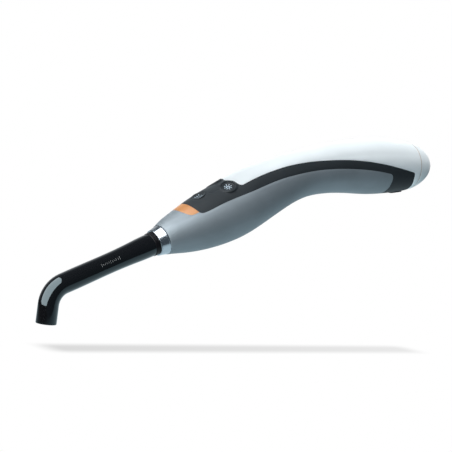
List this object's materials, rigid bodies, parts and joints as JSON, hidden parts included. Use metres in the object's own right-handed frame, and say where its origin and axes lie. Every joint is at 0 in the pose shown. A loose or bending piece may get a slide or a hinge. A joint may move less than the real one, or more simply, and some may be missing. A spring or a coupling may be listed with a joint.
{
  "type": "curing light",
  "caption": "Cordless dental curing light: bent black light guide, grey and white wand handle with charcoal keypad, orange accent and slide-out battery pack.",
  "frame": {"origin": "centre of the light window at the tip of the light guide", "axes": "the light leaves along -Z, the handle runs to +X and rises towards +Z, and the plane y = 0 is the plane of symmetry"},
  "size_m": [0.2247, 0.0292, 0.1024],
  "materials": {
    "guide_glass": "gloss black clad glass rod",
    "black_plastic": "fine matte",
    "steel": "turned",
    "rubber": "matte",
    "polished_ring": "polished",
    "aluminium": "turned",
    "mirror_metal": "mirror polished",
    "circuit_board": "solder mask",
    "led_phosphor": "clear",
    "grey_housing": "satin metallic blue-grey",
    "orange_band": "satin",
    "charcoal_frame": "fine matte soft touch",
    "dark_window": "satin, see-through when lit",
    "white_cover": "satin white",
    "charcoal_buttons": "fine matte",
    "flex_film": "polyimide film",
    "chip_resin": "matte",
    "chassis_plastic": "matte",
    "gold": "plated",
    "cell_wrap": "shrink wrap",
    "seam_seal": "matte"
  },
  "bodies": {
    "handle": {"snap_ring": "steel", "led_ribbon": "flex_film", "front_ring": "polished_ring", "guide_socket": "aluminium", "collimator": "mirror_metal", "led_board": "circuit_board", "led_dies": "led_phosphor", "heat_sink": "aluminium", "lower_housing": "grey_housing", "accent_band": "orange_band", "middle_frame": "charcoal_frame", "display_window": "dark_window", "top_cover": "white_cover", "keypad_flex": "flex_film", "tact_switches": "steel", "main_board": "circuit_board", "board_screws": "steel", "control_chips": "chip_resin", "buzzer": "black_plastic", "inner_chassis": "chassis_plastic", "contact_block": "black_plastic", "contact_pins": "gold"},
    "swivel": {"swivel_bush": "black_plastic"},
    "guide": {"light_guide": "guide_glass", "guide_collar": "black_plastic", "guide_ferrule": "steel", "ferrule_o_ring": "rubber"},
    "start_key": {"start_button": "charcoal_buttons"},
    "left_mode_key": {"left_mode_button": "charcoal_buttons"},
    "right_mode_key": {"right_mode_button": "charcoal_buttons"},
    "battery_pack": {"cell_carrier": "black_plastic", "battery_cell": "cell_wrap", "battery_board": "circuit_board", "battery_pads": "gold", "seam_gasket": "seam_seal", "end_cap": "white_cover", "charging_contacts": "gold"},
    "release_key": {"release_button": "charcoal_buttons"}
  },
  "joints": [
    {"name": "guide_swivel", "type": "hinge", "parent": "handle", "child": "swivel", "pos_m": [0.06377, 0, 0.04466], "axis": [0.911, 0, 0.4123], "continuous": true},
    {"name": "guide_pull_off", "type": "slide", "parent": "swivel", "child": "guide", "axis": [-0.911, 0, -0.4123], "range_m": [0, 0.018]},
    {"name": "start_press", "type": "slide", "parent": "handle", "child": "start_key", "axis": [0.5416, 0, -0.8406], "range_m": [0, 0.0005], "stiffness_N_per_m": 3000, "springref_m": -0.0003},
    {"name": "left_mode_press", "type": "slide", "parent": "handle", "child": "left_mode_key", "axis": [0.4809, 0.3982, -0.7811], "range_m": [0, 0.0005], "stiffness_N_per_m": 3000, "springref_m": -0.0003},
    {"name": "right_mode_press", "type": "slide", "parent": "handle", "child": "right_mode_key", "axis": [0.4809, -0.3982, -0.7811], "range_m": [0, 0.0005], "stiffness_N_per_m": 3000, "springref_m": -0.0003},
    {"name": "battery_slide", "type": "slide", "parent": "handle", "child": "battery_pack", "axis": [0.9949, 0, 0.1011], "range_m": [0, 0.07]},
    {"name": "release_press", "type": "slide", "parent": "handle", "child": "release_key", "axis": [-0.1011, 0, 0.9949], "range_m": [0, 0.0006], "stiffness_N_per_m": 3000, "springref_m": -0.0003}
  ]
}
